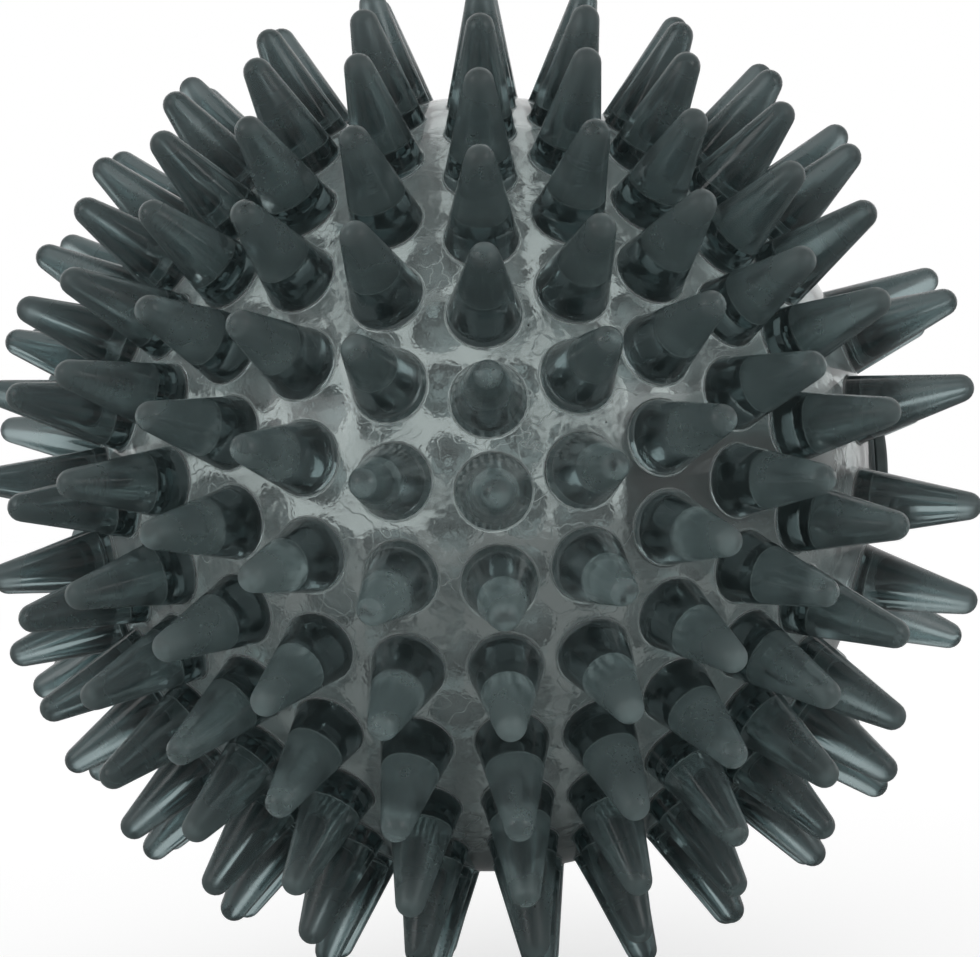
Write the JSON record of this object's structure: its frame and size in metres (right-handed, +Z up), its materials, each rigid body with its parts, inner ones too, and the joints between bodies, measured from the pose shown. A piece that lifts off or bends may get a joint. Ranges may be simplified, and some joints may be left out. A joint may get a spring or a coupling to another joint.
{
  "type": "spiky massage ball",
  "caption": "Hollow soft translucent massage ball covered in rings of round-tipped conical spikes, with a ribbed press-in air valve and its plug in a deep pocket at one pole.",
  "frame": {"origin": "centre of the ball", "axes": "the rings of spikes lie round the X axis; +X points out through the valve, -Y is the side that the picture shows, +Z is up in the picture"},
  "size_m": [0.0867, 0.0903, 0.0903],
  "materials": {
    "smoke_pvc": "glossy translucent smoke-grey soft PVC",
    "valve_rubber": "satin dark grey rubber",
    "plug_rubber": "satin near-black rubber"
  },
  "bodies": {
    "ball": {"shell": "smoke_pvc", "valve_body": "valve_rubber"},
    "plug": {"valve_plug": "plug_rubber"}
  },
  "joints": [
    {"name": "plug_pull", "type": "slide", "parent": "ball", "child": "plug", "axis": [1, 0, 0], "range_m": [0, 0.02]}
  ]
}
